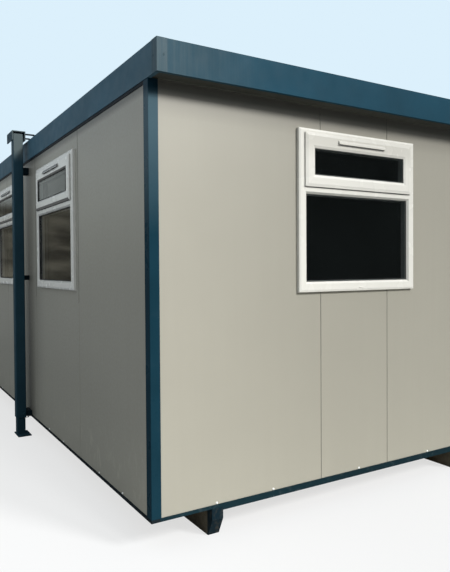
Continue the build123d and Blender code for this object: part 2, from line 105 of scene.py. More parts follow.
class CabinSizes(PropertyGroup):
    """Sizes of the pieces that are added to the frame."""
    screw_head: length("Screw head", "Diameter of a capped wall screw", 0.011, min=0.004, max=0.02)
    screw_rise: length("Screw height", "Screw above the base rail", 0.008, min=0.006, max=0.1)
    screw_first: length("First screw", "Panel edge to its first screw", 0.42, min=0.1, max=0.6)
    screw_second: length("Second screw", "Panel edge to its second screw", 0.83, min=0.6, max=1.1)
    screw_narrow: length("Narrow panel screw", "Edge of a narrow panel to its screw", 0.335, min=0.1, max=0.6)
    panel_width: length("Panel width", "Cover width of one wall panel", 1.22, min=0.6, max=1.5)
    seal_width: length("Seal width", "Glazing seal that shows round a pane", 0.0025, min=0.001, max=0.02)
    seal_proud: length("Seal depth", "Glazing seal before a long wall's pane", 0.0065, min=0.002, max=0.01)
    sash_shadow: length("Sash shadow", "Black strip painted as shadow under a sash", 0.003, min=0.001, max=0.006)
    mastic_foot: length("Mastic foot", "Base rail to the foot of the mastic", 1.15, min=0, max=2)
    mastic: length("Mastic band", "Mastic over a long wall's panel joint", 0.006, min=0.002, max=0.015)
    pane: length("Pane", "Thickness of one pane of a sealed unit", 0.004, min=0.002, max=0.008)
    spacer: length("Spacer", "Width of the spacer inside a sealed unit", 0.006, min=0.004, max=0.02)
    sealant: length("Edge sealant", "Black sealant behind a long wall's pane", 0.009, min=0.002, max=0.02)
    unit_depth: length("Reveal", "Depth that shows behind a pane", 0.040, min=0.02, max=0.06)
    bead: length("Soffit bead", "Sealant bead under an end soffit", 0.007, min=0.003, max=0.02)
    trim_reach: length("Trim reach", "Corner trim's width on an end wall", 0.061, min=0.02, max=0.15)
    rivet: length("Rivet head", "Diameter of a fascia rivet", 0.012, min=0.004, max=0.03)
    bolt: length("Bolt", "Thread diameter of the leg bolts", 0.016, min=0.006, max=0.03)
    rib_height: length("Roof rib", "Height of a roof sheet's lap rib", 0.009, min=0.002, max=0.02)
    rib_pitch: length("Rib pitch", "Cover width of one roof sheet", 0.61, min=0.3, max=1.2)
    weld: length("Weld", "Leg length of a fillet weld", 0.006, min=0.002, max=0.015)


class CabinStudio(PropertyGroup):
    """Light, floor and camera."""
    key_strength: number("Key light", "Strength of the soft key light", 3.62, min=0)
    key_softness: number("Key softness", "Angle that the key light fills", math.radians(14), subtype="ANGLE")
    corner_strength: number("Corner light", "Soft light on the near corner", 2820, min=0, unit="POWER")
    fill_low: colour("Low fill", "Light from round the horizon", (0.05, 0.052, 0.05))
    fill_high: colour("High fill", "Light from above on the sunny side", (0.66, 0.70, 0.74))
    fill_shade: colour("Shade fill", "Light from above on the shaded side", (0.79, 0.87, 0.94))
    sky_high: colour("Upper background", "Background well above the horizon", (0.716, 0.871, 0.973))
    sky_low: colour("Lower background", "Background at the horizon", (0.62, 0.68, 0.70))
    mirror_low: colour("Low reflection", "Mirrored near the horizon", (0.050, 0.060, 0.055))
    mirror_board: colour("Board reflection", "Boards mirrored on the shaded side", (0.295, 0.285, 0.225))
    mirror_high: colour("High reflection", "Mirrored just above the boards", (0.88, 0.98, 0.96))
    mirror_mid: colour("Middle reflection", "Mirrored below the open sky in the shade", (0.82, 0.90, 0.98))
    floor: colour("Floor", "Floor as it is seen", (0.875, 0.875, 0.87))
    end_bounce: colour("End bounce", "Floor beside an end wall as it lights it", (0.85, 0.84, 0.78))
    side_bounce: colour("Side bounce", "Floor beside a long wall as it lights it", (0.15, 0.15, 0.14))
    end_far: colour("End far bounce", "Floor farther from an end wall", (0.04, 0.04, 0.04))
    side_far: colour("Side far bounce", "Floor farther from a long wall", (0.44, 0.47, 0.52))
    floor_glow: number("Floor glow", "Share of the floor that no shadow reaches", 0.78, min=0, max=1,
                       subtype="FACTOR")
    lens: number("Lens", "Focal length in millimetres on a 36 mm frame", 36.08, unit="CAMERA")
    segments: IntProperty(name="Segments", description="Sides of a round fixing", default=16, min=8, max=48)


def settings():
    scene = bpy.context.scene
    return scene.cabin_colours, scene.cabin_sizes, scene.cabin_studio


# --- mesh pieces ---
WELD_GAP = 1e-5  # points nearer than this are one point


def oblong(x0, y0, x1, y1):
    return (x0, y0), (x1, y0), (x1, y1), (x0, y1)


def stand(name, data, place=Matrix()):
    """Adds an object to the scene at a place."""
    made = bpy.data.objects.new(name, data)
    made.matrix_world = place
    bpy.context.scene.collection.objects.link(made)
    return made


class Form:
    """One piece's mesh, gathered from parts in the frame's own coordinates."""

    def __init__(self):
        self.mesh = bmesh.new()

    def skin(self, rings, closed=False):
        """Joins equal rings of points in order and caps both ends, or closes the run on itself."""
        rows = [[self.mesh.verts.new(point) for point in ring] for ring in rings]
        pairs = list(zip(rows, rows[1:]))
        if closed:
            pairs.append((rows[-1], rows[0]))
        else:
            self.mesh.faces.new(reversed(rows[0]))
            self.mesh.faces.new(rows[-1])
        for first, second in pairs:
            for i in range(len(first)):
                j = (i + 1) % len(first)
                self.mesh.faces.new((first[i], first[j], second[j], second[i]))

    def prism(self, outline, place, depth):
        """A closed outline of (x, y) points pushed along local Z by depth."""
        self.skin([[place @ Vector((x, y, z)) for x, y in outline] for z in (0, depth)])

    def slab(self, low, high, place):
        """A box between two local corners."""
        (x0, y0, z0), (x1, y1, z1) = low, high
        self.prism(oblong(x0, y0, x1, y1), place @ Matrix.Translation((0, 0, z0)), z1 - z0)

    def turned(self, profile, place, segments):
        """(radius, height) points turned about local Z; the ends are capped or close on the axis."""
        turns = [2 * math.pi * i / segments for i in range(segments)]
        self.skin([[place @ Vector((r * math.cos(a), r * math.sin(a), h)) for a in turns]
                   for r, h in profile])

    def bolt(self, across, height, washer, place, segments):
        """A hexagon head with its corners turned off, on a washer of the given radius and thickness."""
        radius, thickness = washer
        self.turned([(radius, 0), (radius, thickness)], place, segments)
        head = place @ Matrix.Translation((0, 0, thickness))
        corner = across / math.sqrt(3)
        self.turned([(corner, 0), (corner, height * 0.8), (corner * 0.88, height)], head, 6)

    def border(self, wall, low, high, section):
        """A mitred border round a part of a wall, from the (inset, y) points of its section in order."""
        rings = []
        for inset, y in section:
            corners = oblong(low.x + inset, low.z + inset, high.x - inset, high.z - inset)
            rings.append([wall.place @ Vector((x, y, z)) for x, z in corners])
        self.skin(rings, closed=True)

    def fillet(self, place, half, radius, size):
        """A slightly uneven fillet weld round a square tube of the given half width and corner radius."""
        rings = []
        for r, h in ((half, 0), (half, size), (half + size * 0.55, size * 0.5), (half + size, 0)):
            ring = []
            for quarter in range(4):
                x = (half - radius) * (1 if quarter in (0, 3) else -1)
                y = (half - radius) * (1 if quarter in (0, 1) else -1)
                for step in range(7):
                    a = math.radians(90 * quarter + 15 * step)
                    out = (radius + r - half) * (1 + 0.04 * math.sin(37 * a))
                    ring.append(place @ Vector((x + out * math.cos(a), y + out * math.sin(a), h)))
            rings.append(ring)
        self.skin(rings, closed=True)

    def piece(self, name, finish, slot, body=CABIN, smooth=30):
        """Makes the object, with outward faces and smooth shading under the given angle."""
        bmesh.ops.remove_doubles(self.mesh, verts=self.mesh.verts, dist=WELD_GAP)
        bmesh.ops.recalc_face_normals(self.mesh, faces=self.mesh.faces)
        mesh = bpy.data.meshes.new(name)
        self.mesh.to_mesh(mesh)
        self.mesh.free()
        mesh.materials.append(FINISH[finish])
        mesh.shade_smooth()
        mesh.set_sharp_from_angle(angle=math.radians(smooth))
        made = stand(name, mesh)
        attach(made, body)
        return made


def solids(node):
    """(low, high) corners of each separate solid in a CAD node."""
    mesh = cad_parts[node].data
    keys = [tuple(round(c, 5) for c in v.co) for v in mesh.vertices]
    parent = {k: k for k in keys}

    def root(k):
        while parent[k] != k:
            parent[k] = parent[parent[k]]
            k = parent[k]
        return k

    for face in mesh.polygons:
        first = root(keys[face.vertices[0]])
        for v in face.vertices[1:]:
            parent[root(keys[v])] = first
    groups = {}
    for k in parent:
        groups.setdefault(root(k), []).append(k)
    return sorted((Vector(map(min, zip(*g))), Vector(map(max, zip(*g)))) for g in groups.values())


class Wall:
    """One wall's frame: x along it, y inwards from the trim line, z up from the base rail's underside."""

    def __init__(self, start, end):
        along = (end - start).normalized()
        inward, up = Vector((-along.y, along.x, 0)), Vector((0, 0, 1))
        self.length, self.is_end = (end - start).length, abs(along.y) > 0.5
        self.place = Matrix.Translation(start) @ Matrix((along, inward, up)).transposed().to_4x4()
        self.back = self.place.inverted()

    def local(self, box):
        corners = [self.back @ corner for corner in box]
        return Vector(map(min, zip(*corners))), Vector(map(max, zip(*corners)))

    def at(self, x, y, z):
        return self.place @ Matrix.Translation((x, y, z))

    def outward(self, x, y, z):
        """Local frame whose Z points out of the wall at a point."""
        return self.at(x, y, z) @ Matrix.Rotation(QUARTER_TURN, 4, "X")


def read_walls():
    """The front, right end, rear and left end walls, from the corner trims and the base rails."""
    low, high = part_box("corner_trims")
    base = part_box("side_base_rails")[0].z
    corners = [Vector((x, y, base)) for x, y in oblong(low.x, low.y, high.x, high.y)]
    return [Wall(start, end) for start, end in zip(corners, corners[1:] + corners[:1])]


WALLS = read_walls()


def on_walls(*nodes):
    """(wall, local low, local high) of each solid of nodes that stand in the walls."""
    for box in (box for node in nodes for box in solids(node)):
        middle = (box[0] + box[1]) / 2
        wall = min(WALLS, key=lambda w: abs((w.back @ middle).y))
        yield (wall, *wall.local(box))


# --- finishes ---
class Nodes:
    """A node tree whose patterns read one kind of texture coordinates."""

    def __init__(self, tree, coordinates):
        self.nodes, self.links = tree.nodes, tree.links
        self.place = self.nodes.new("ShaderNodeTexCoord").outputs[coordinates]

    def add(self, kind, inputs, **options):
        node = self.nodes.new(kind)
        for key, value in options.items():
            setattr(node, key, value)
        for key, value in inputs.items():
            if isinstance(value, NodeSocket):
                self.links.new(value, node.inputs[key])
            else:
                node.inputs[key].default_value = value
        return node

    def maths(self, operation, *values):
        return self.add("ShaderNodeMath", dict(enumerate(values)), operation=operation).outputs[0]

    def vector_maths(self, operation, *values):
        made = self.add("ShaderNodeVectorMath", dict(enumerate(values)), operation=operation).outputs
        return made["Value" if operation == "LENGTH" else "Vector"]

    def times(self, first, *others):
        for other in others:
            first = self.maths("MULTIPLY", first, other)
        return first

    def split(self, vector):
        return self.add("ShaderNodeSeparateXYZ", {0: vector}).outputs

    def noise(self, size, detail=3.0, stretch=(1, 1, 1), distortion=0.0):
        """Noise with features about size metres across, longer along an axis whose stretch is over 1."""
        scale = [1 / (size * s) for s in stretch]
        scaled = self.add("ShaderNodeMapping", {"Vector": self.place, "Scale": scale}).outputs[0]
        return self.add("ShaderNodeTexNoise", {"Vector": scaled, "Scale": 1.0, "Detail": detail,
                                               "Distortion": distortion}).outputs[0]

    def spread(self, value, low, high, start=0.3, end=0.7, **options):
        """Maps start to end onto low to high; the defaults are the middle of a noise."""
        return self.add("ShaderNodeMapRange", {"Value": value, "From Min": start, "From Max": end,
                                               "To Min": low, "To Max": high}, **options).outputs[0]

    def mix(self, factor, first, second):
        """A colour between two, each a colour or a socket."""
        first, second = (c if isinstance(c, NodeSocket) else (*c, 1) for c in (first, second))
        return self.add("ShaderNodeMix", {0: factor, 6: first, 7: second}, data_type="RGBA").outputs[2]

    def shown_to(self, path, *rays):
        """1 for camera rays and for the rays that are named."""
        total = path["Is Camera Ray"]
        for ray in rays:
            total = self.maths("MAXIMUM", total, path[ray])
        return total


def tone(base, factor):
    return tuple(min(1, c * factor) for c in base)


class Finish(Nodes):
    """A node material whose patterns read the piece's own coordinates, in metres."""

    def __init__(self, name, **sockets):
        self.material = bpy.data.materials.new(name)
        self.material.use_nodes = True
        super().__init__(self.material.node_tree, "Object")
        self.shader = self.nodes["Principled BSDF"]
        for socket, value in sockets.items():
            self.shader.inputs[socket.replace("_", " ")].default_value = value

    def clouded(self, base, noise, dark, light):
        """The base colour, taken by a noise between a darker and a lighter tone of itself."""
        return self.mix(self.spread(noise, 0, 1), tone(base, dark), tone(base, light))

    def band(self, share, start, full, end=None, gone=None):
        """The share over the height full and nothing under start, nor over gone where an end is given."""
        height = self.split(self.place)["Z"]
        rising = self.spread(height, 0, share, start, full)
        return self.times(rising, self.spread(height, 1, 0, end, gone)) if end else rising

    def from_middle(self):
        """Distances from the cabin's middle along X, Y and Z."""
        return self.split(self.vector_maths("ABSOLUTE", self.place))

    def near_corner(self, reach=0.75):
        """1 at the four upright corners, falling to 0 at reach metres from them along either wall."""
        corner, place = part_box("end_fascias")[1], self.from_middle()
        return self.times(self.spread(place["X"], 0, 1, corner.x - reach, corner.x),
                          self.spread(place["Y"], 0, 1, corner.y - reach, corner.y))

    def near_leg(self, share, reach=0.55):
        """The share beside a leg, falling to nothing at reach metres from it along the wall."""
        low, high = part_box("front_right_inner_leg")
        along = self.maths("SUBTRACT", self.from_middle()["X"], (low.x + high.x) / 2)
        return self.spread(self.maths("ABSOLUTE", along), share, 0, 0.1, reach)

    def front_wall(self):
        """1 on the front wall and what stands proud of it, 0 elsewhere."""
        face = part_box("front_wall")[0].y
        return self.spread(self.split(self.place)["Y"], 1, 0, face + 0.01, face + 0.02)

    def underside(self):
        """1 on faces that tilt downwards, 0 on upright ones."""
        normal = self.add("ShaderNodeNewGeometry", {}).outputs["True Normal"]
        return self.spread(self.split(normal)["Z"], 1, 0, -0.22, -0.08)

    def drive(self, socket, value):
        self.links.new(value, self.shader.inputs[socket])

    def done(self, colour, roughness, *layers):
        """Joins the colour, the roughness and the relief: (height, depth in metres) pairs, coarse first."""
        self.drive("Base Color", colour)
        self.drive("Roughness", roughness)
        normal = None
        for height, depth in layers:
            inputs = {"Height": height, "Distance": depth, "Strength": 1.0}
            if normal:
                inputs["Normal"] = normal
            normal = self.add("ShaderNodeBump", inputs).outputs[0]
        self.drive("Normal", normal)
        return self.material


SCUFFED = (0.10, 0.12, 0.125)  # blue paint rubbed dull
PAINTED_SHEEN = (0.11, 0.13, 0.125)  # paler tone painted on blue paint as sheen
TRIM_SHEEN = (0.085, 0.140, 0.165)  # the same painted sheen on the corner trims
SHADE_TONE = (0.045, 0.042, 0.046)  # dark tone painted on as shade on the front wall
HEAD_TONE = (0.26, 0.235, 0.185)  # darker, warmer tone along a sash's head
UPRIGHT = (1, 1, 30)  # stretch of streaks that run down
SKIN = 0.001, 0.021  # behind a long wall's face its outer skin gives way between these depths


def panel_finish(base):
    """Plastic-coated steel: leather grain, draw lines, painted shade under the eaves and in places."""
    f = Finish("panel_coating", Roughness=0.45, Specular_IOR_Level=0.40)
    low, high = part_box("front_wall")
    foot, head = low.z, high.z
    sides, ends = (f.spread(f.from_middle()["Y"], *share, -low.y - SKIN[1], -low.y - SKIN[0])
                   for share in ((0, 1), (1, 0)))
    soft = f.clouded(base, f.noise(0.9, 4), 0.97, 1.03)
    drawn = f.mix(f.spread(f.noise(0.05, 3, UPRIGHT), 0, 0.35), soft, tone(base, 0.95))
    # painted shade: the walls darken towards their heads under the eaves
    coat = f.mix(f.band(0.12, head - 0.28, head - 0.08), drawn, tone(base, 0.3))
    # painted shade under the eaves of the ends, part way up the long walls and beside their legs
    for painted_shade in (f.times(f.band(0.33, head - 0.20, head - 0.09, head - 0.085, head - 0.06), ends),
                 f.times(f.band(0.14, foot + 0.15, foot + 0.5, foot + 1.25, foot + 1.8), sides),
                 f.times(f.near_leg(0.34), sides),
                 f.times(f.near_leg(0.50, 0.22), sides)):
        coat = f.mix(painted_shade, coat, tone(base, 0.3))
    scratches = f.times(f.spread(f.noise(0.045, 7, (1, 1, 2.5), 0.8), 0, 1, 0.56, 0.72),
                        f.band(0.22, foot, foot + 0.06, foot + 0.12, foot + 0.42), sides)
    coat = f.mix(scratches, coat, tone(base, 2.0))
    # painted shade in the top few centimetres of every wall, under the soffits and fascias
    coat = f.mix(f.band(0.75, head - 0.082, head - 0.042), coat, tone(base, 0.25))
    return f.done(coat, f.spread(f.noise(0.02, 4), 0.38, 0.50),
                  (f.noise(0.7, 1), 0.0012), (f.noise(0.0016, 2), 0.00006))


def blue_finish(name, base, roughness, waviness, scuffs, sheen_band=None, corners=0.0, ior=1.45, sheen_tone=PAINTED_SHEEN,
                beyond=0.0):
    """Satin paint on folded steel: slight tone changes, a wavy sheet, a fine orange peel and painted sheen.

    A paler tone is painted on as sheen in the band that sheen_band gives, where it lies farther from the
    cabin's middle than beyond, and by the share corners towards the cabin's corners.
    """
    f = Finish(name, Roughness=roughness, Specular_IOR_Level=0.12, IOR=ior)
    cloud = f.clouded(base, f.noise(0.35, 5), 0.88, 1.14)
    # worn holds the scuffs, and below also the painted sheen
    worn = f.mix(f.spread(f.noise(0.05, 6, distortion=0.6), 0, scuffs, 0.56, 0.80), cloud, SCUFFED)
    # painted sheen near the cabin's corners, in runs down the paint
    if corners:
        runs = f.spread(f.noise(0.012, 3, UPRIGHT), 0.7, 1.3)
        worn = f.mix(f.times(f.near_corner(), runs, corners), worn, sheen_tone)
    # painted sheen in a height band, on faces farther out than beyond
    if sheen_band:
        outer = f.spread(f.from_middle()["X"], 0, 1, beyond - 0.002, beyond - 0.001)
        worn = f.mix(f.times(f.band(*sheen_band), outer), worn, sheen_tone)
    return f.done(worn, f.spread(f.noise(0.08, 4), roughness - 0.06, roughness + 0.08),
                  (f.noise(0.45, 1), waviness), (f.noise(0.008, 2), 0.00003))


def runner_finish(base, rust):
    """Dark paint on the ends of the runners, worn to brown steel along their sides."""
    f = Finish("runner_steel", Specular_IOR_Level=0.15)
    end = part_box("front_runner")[1].x
    side = f.spread(f.from_middle()["X"], 1, 0, end - 0.065, end - 0.050)
    pits = f.spread(f.noise(0.022, 8, distortion=0.5), 0, 1, 0.50, 0.66)
    paint = f.mix(f.spread(pits, 0, 0.5, 0, 1), base, tone(rust, 0.6))
    return f.done(f.mix(side, paint, f.clouded(rust, f.noise(0.15, 5), 0.55, 1.5)),
                  f.spread(pits, 0.55, 0.85, 0, 1), (f.noise(0.02, 6), 0.0008), (f.noise(0.003, 3), 0.0002))


def upvc_finish(name, base, front_shade=0.0, below=0.0):
    """Smooth white plastic with the faintest ripple.

    A sash and its vent take a darker, warmer tone along the head. On the front wall they take painted shade
    instead, by the share front_shade all over or by the share below on their undersides.
    """
    f = Finish(name, Roughness=0.26, Specular_IOR_Level=0.40)
    coat = f.clouded(base, f.noise(0.25, 4), 0.985, 1.01)
    if front_shade or below:
        top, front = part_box("window_sashes")[1].z, f.front_wall()
        elsewhere = f.spread(front, 1, 0, 0, 1)
        # darker, warmer tone towards the sashes' head, away from the front wall
        coat = f.mix(f.times(f.band(0.25, top - 0.17, top - 0.06), elsewhere), coat, HEAD_TONE)
        # painted shade on the front wall: all over, or on faces that tilt down
        share = f.times(f.underside(), below) if below else front_shade
        coat = f.mix(f.times(front, share), coat, SHADE_TONE)
    return f.done(coat, f.spread(f.noise(0.12, 2), 0.24, 0.29), (f.noise(0.15, 1), 0.0001))


def glass_finish(name, base, alpha, specular):
    """A float glass pane, very slightly rippled."""
    f = Finish(name, Alpha=alpha, Specular_IOR_Level=specular)
    return f.done(f.clouded(base, f.noise(0.3, 3), 0.8, 1.3), f.spread(f.noise(0.12, 5), 0.015, 0.06),
                  (f.noise(0.5, 0), 0.0006))


def matt_finish(name, base, roughness, grain, depth, change=0.08, metallic=0.0, specular=0.3):
    """A plain matt finish with grain metres across and depth metres high."""
    f = Finish(name, Metallic=metallic, Specular_IOR_Level=specular)
    return f.done(f.clouded(base, f.noise(grain * 30, 4), 1 - change, 1 + change),
                  f.spread(f.noise(grain * 8, 3), roughness - 0.06, roughness + 0.06),
                  (f.noise(grain, 3), depth))


def timber_finish(base):
    """Sawn softwood and plywood with the grain along the floor."""
    f = Finish("floor_timber", Specular_IOR_Level=0.25)
    grain = f.noise(0.006, 6, (1, 14, 1), 1.2)
    return f.done(f.clouded(base, grain, 0.7, 1.25), f.spread(f.noise(0.02, 3), 0.6, 0.8), (grain, 0.0004))


def finishes(c):
    """All finishes by name."""
    return {
        "panel": panel_finish(c.panel),
        # corners: painted sheen near the cabin's corners
        "sheet": blue_finish("blue_sheet", tone(c.blue, 1.26), 0.56, 0.0003, 0.02, corners=0.26),
        "cap": blue_finish("blue_caps", tone(c.blue, 1.26), 0.50, 0.0003, 0.02, corners=0.39),
        # side fascias: paler base and corner share, both painted sheen
        "side_fascia_sheen": blue_finish("side_fascia_sheen_paint", c.side_fascia_sheen, 0.56, 0.0003, 0.02, corners=0.15),
        # legs: painted sheen on their end-facing faces from just under the roof line up
        "steel": blue_finish("blue_steel", c.steel, 0.45, 0.0003, 0.05, (0.75, 2.57, 2.68), ior=1.2,
                             beyond=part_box("front_right_leg_column")[1].x),
        "bracket": blue_finish("dark_brackets", c.bracket, 0.5, 0.0002, 0.10, ior=1.2),
        # trims: painted sheen on their upper part, stopping in the shade under the soffits
        "trim": blue_finish("blue_trim", c.trim, 0.30, 0.0002, 0.03, (0.55, 1.75, 2.35, 2.49, 2.55), ior=1.2,
                            sheen_tone=TRIM_SHEEN),
        "rail": blue_finish("blue_rail", c.rail, 0.50, 0.0002, 0.30),
        "side_rail": blue_finish("dark_rail", c.side_rail, 0.50, 0.0002, 0.20, ior=1.2),
        "runner": runner_finish(tone(c.blue, 0.30), c.rust),
        "bead": matt_finish("soffit_bead", tone(c.soffit, 1.25), 0.6, 0.004, 0.0001, specular=0.1),
        # eaves strip: near-black, partly painted shade under the fascias
        "eaves": matt_finish("eaves_strip", c.eaves, 0.6, 0.004, 0.0001, specular=0.1),
        "upvc": upvc_finish("white_upvc", c.upvc),
        # sashes and vents: painted shade on the front wall
        "sash": upvc_finish("sash_upvc", c.upvc, below=0.88),
        "vent": upvc_finish("vent_upvc", c.upvc, front_shade=0.80),
        "glass": glass_finish("clear_glass", c.glass, 0.42, 0.50),
        # inner panes: nearly opaque, painted shade of the unlit room behind them
        "interior_shade_glass": glass_finish("interior_shade_glass", c.glass, 0.97, 0.15),
        "spacer": matt_finish("spacer_bar", c.spacer, 0.5, 0.001, 0.00003, 0.05),
        # roof timbers: dark, so their strip under each end soffit reads as a dark line
        "framing": matt_finish("roof_framing", c.framing, 0.8, 0.004, 0.0003, 0.2, specular=0.1),
        "soffit": matt_finish("soffit_brown", c.soffit, 0.75, 0.004, 0.0002, specular=0.15),
        "timber": timber_finish(c.timber),
        "roof": matt_finish("roof_sheet", c.roof, 0.55, 0.003, 0.0001, 0.12),
        "lining": matt_finish("ceiling_lining", c.lining, 0.6, 0.003, 0.0001, 0.03),
        "rubber": matt_finish("black_rubber", c.rubber, 0.65, 0.002, 0.0001),
        "zinc": matt_finish("zinc_plate", c.zinc, 0.35, 0.001, 0.00003, 0.15, 1.0, 0.5),
        "screw": matt_finish("screw_cap", c.screw, 0.35, 0.001, 0.00003, 0.03),
        "handle": matt_finish("satin_aluminium", c.zinc, 0.3, 0.0008, 0.00003, 0.05, 1.0, 0.5),
    }


FINISH = {}
NODE_FINISH = {
    "panel": tuple(f"{wall}_wall{part}" for wall in ("front", "right_end", "rear", "left_end")
                   for part in ("", "_infills")),
    "sheet": ("end_fascias", "door_leaf", "door_frame"),
    "cap": ("fascia_corner_caps",),
    "side_fascia_sheen": ("side_fascias",),
    "trim": ("corner_trims",),
    "rail": ("end_base_rails", "chassis_end_beams"),
    "side_rail": ("side_base_rails",),
    "runner": ("front_runner", "rear_runner"),
    "steel": tuple(f"{leg}_{part}" for leg in LEGS for part in ("leg_column", "inner_leg")),
    "bracket": ("leg_brackets",),
    "upvc": ("window_frames",),
    "sash": ("window_sashes",),
    "vent": ("window_vents",),
    "glass": PANES,
    "soffit": ("end_soffits",),
    "eaves": ("eaves_strips",),
    "framing": ("roof_frame",),
    "timber": ("floor_deck", "floor_joists", "floor_side_rims"),
    "roof": ("roof_skin",),
    "lining": ("ceiling",),
    "handle": ("door_handle",),
}


class CABIN_OT_finishes(Operator):
    """Makes every finish and gives each frame node its own"""
    bl_idname = "cabin.finishes"
    bl_label = "Finishes"

    def execute(self, context):
        FINISH.update(finishes(settings()[0]))
        for name, nodes in NODE_FINISH.items():
            for node in nodes:
                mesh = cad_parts[node].data
                mesh.materials.clear()
                mesh.materials.append(FINISH[name])
        unpainted = set(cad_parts) - {n for nodes in NODE_FINISH.values() for n in nodes}
        if unpainted:
            raise RuntimeError(f"no finish for {sorted(unpainted)}")
        return {"FINISHED"}


# --- walls ---
PANEL_FACE = 0.004  # a panel's face behind the trim line
MASTIC_FACE = PANEL_FACE - 0.0004  # mastic stands proud of the panel
JOINT_SEAL = (-0.0009, 0.0061), (0.0009, 0.0061), (0.0004, 0.0068), (-0.0004, 0.0068)  # across, inwards
SAME_EDGE = 0.01  # panel edges nearer than this are one
SCREW_DOME = (1.3, 0), (1.3, 0.16), (1, 0.3), (0.86, 0.7), (0.5, 0.95), (0, 1)  # shares of the head's radius
NARROW = 0.75  # a panel under this share of the full width takes one screw
BEAD_BACK = 0.0045  # a soffit bead's back, just inside the panel


def panel_edges(wall_length, width):
    """Panel edges along a wall: whole panels from both ends and any filler in the middle."""
    count = int(wall_length // width + 1e-6)
    near = [width * i for i in range((count + 1) // 2 + 1)]
    far = [wall_length - width * i for i in range(count // 2 + 1)]
    edges = []
    for edge in sorted(near + far):
        if not edges or edge - edges[-1] > SAME_EDGE:
            edges.append(edge)
    return edges


class CABIN_OT_wall_screws(Operator):
    """Capped screws along the foot of each wall panel"""
    bl_idname = "cabin.wall_screws"
    bl_label = "Wall screws"

    def execute(self, context):
        _, s, studio = settings()
        form, rail = Form(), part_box("side_base_rails")
        z = rail[1].z - rail[0].z + s.screw_rise
        dome = [(s.screw_head / 2 * out, s.screw_head / 2 * up) for out, up in SCREW_DOME]
        for wall in WALLS:
            edges = panel_edges(wall.length, s.panel_width)
            for low, high in zip(edges, edges[1:]):
                narrow = high - low < NARROW * s.panel_width
                steps = (s.screw_narrow,) if narrow else (s.screw_first, s.screw_second)
                from_start = wall.is_end or low < wall.length / 2
                for x in ((low + step if from_start else high - step) for step in steps):
                    form.turned(dome, wall.outward(x, PANEL_FACE, z), studio.segments)
        form.piece("wall_screws", "screw", "white_upvc", smooth=40)
        return {"FINISHED"}


class CABIN_OT_joint_seals(Operator):
    """Dark seal in the foot of each panel joint, and a mastic band over the joints of the long walls"""
    bl_idname = "cabin.joint_seals"
    bl_label = "Joint seals"

    def execute(self, context):
        s = settings()[1]
        form, half = Form(), s.mastic / 2
        mastic = ((-half, PANEL_FACE), (-half * 0.7, MASTIC_FACE), (half * 0.7, MASTIC_FACE),
                  (half, PANEL_FACE))
        foot, head = (corner.z - WALLS[0].place.translation.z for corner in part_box("front_wall"))
        openings = list(on_walls("window_frames", "door_frame"))
        for wall in WALLS:
            for x in panel_edges(wall.length, s.panel_width)[1:-1]:
                cuts = sorted((low.z, high.z) for cut, low, high in openings
                              if cut is wall and low.x < x < high.x)
                levels = [foot, *(z for cut in cuts for z in cut), head]
                for z0, z1 in zip(levels[::2], levels[1::2]):
                    form.prism(JOINT_SEAL, wall.at(x, 0, z0), z1 - z0)
                    start = max(z0, s.mastic_foot)
                    if not wall.is_end and start < z1:
                        form.prism(mastic, wall.at(x, 0, start), z1 - start)
        form.piece("joint_seals", "rubber", "black_rubber")
        return {"FINISHED"}


class CABIN_OT_soffit_beads(Operator):
    """Sealant bead where each end soffit meets its wall"""
    bl_idname = "cabin.soffit_beads"
    bl_label = "Soffit beads"

    def execute(self, context):
        s = settings()[1]
        form, size = Form(), s.bead
        section = ((-size, 0.0), (-size * 0.3, -size * 0.55), (size * 0.35, -size), (BEAD_BACK, -size),
                   (BEAD_BACK, 0.0))
        for wall, low, high in on_walls("end_soffits"):
            form.skin([[wall.place @ Vector((x, y, low.z + z)) for y, z in section]
                       for x in (s.trim_reach, wall.length - s.trim_reach)])
        form.piece("soffit_beads", "bead", "soffit_brown", smooth=50)
        return {"FINISHED"}


# --- windows and door ---
END_SEAL_PROUD = 0.0025  # glazing seal before an end wall's pane
GLAZING_LIP = 0.0004  # its inner edge before the pane
SASH_SEAL = oblong(0.0035, -0.0028, 0.008, -0.0002)  # inset from the sash's edge, height off the frame
SASH_SHADOW_DEPTH = -0.003, -0.0002  # front and back off the frame of the black strip painted as a sash's shadow
SASH_SHADOW_LAP = 0.002  # shadow strip in from the sash's sides, and up behind it
VENT_MOUTH = Vector((0.004, 0.002, -0.0008)), Vector((-0.004, -0.001, 0))  # from the vent's lower corners; a black slab painted as the shade inside the vent's mouth
DRAIN_HEIGHT = 0.022  # drain cap above a frame's foot
DRAIN_CAP = 0.011, 0.004  # half length without the round ends, and their radius
DRAIN_STEPS = (1, 0), (1, 0.0015), (0.8, 0.0035), (0.4, 0.004)  # share of the outline, height
MITRES = ("window_sashes", 0.020, 0.058), ("window_frames", 0.014, 0.026)  # start and end of a ridge
RIDGE = 0.0003, 0.0001  # half width and height
HINGE_PIN = (0.006, 0), (0.0075, 0.002), (0.0075, 0.098), (0.006, 0.1)  # radius, height
HINGE_FOOT = 0.001, -0.005, -0.05  # pin's foot from the door's edge, its frame's face and the hinge's middle
HINGE_LEAF = Vector((-0.035, -0.0025, -0.045)), Vector((-0.004, 0, 0.045))  # corners from the door's edge
HINGE_SHARES = 0.12, 0.5, 0.88  # of the door's height
LOCK = (0.013, 0), (0.013, 0.003), (0.0085, 0.0045), (0.0085, 0.008)  # radius, height
LOCK_SIDES = 24
LOCK_PLACE = 0.07, 0.053, 0.055  # from the door's edge, the handle's face and its foot
WEATHER_BAR = (0, 0), (-0.02, 0.004), (-0.022, 0.008), (-0.004, 0.03), (0, 0.03)  # out of the door, up
FOOT_BAR = 0.01, 0.03  # in from the door's edges, up from its foot
HEAD_BAR = 0.002, 0.032, 1.4  # into the frame's face, down from its head, width against the other bar
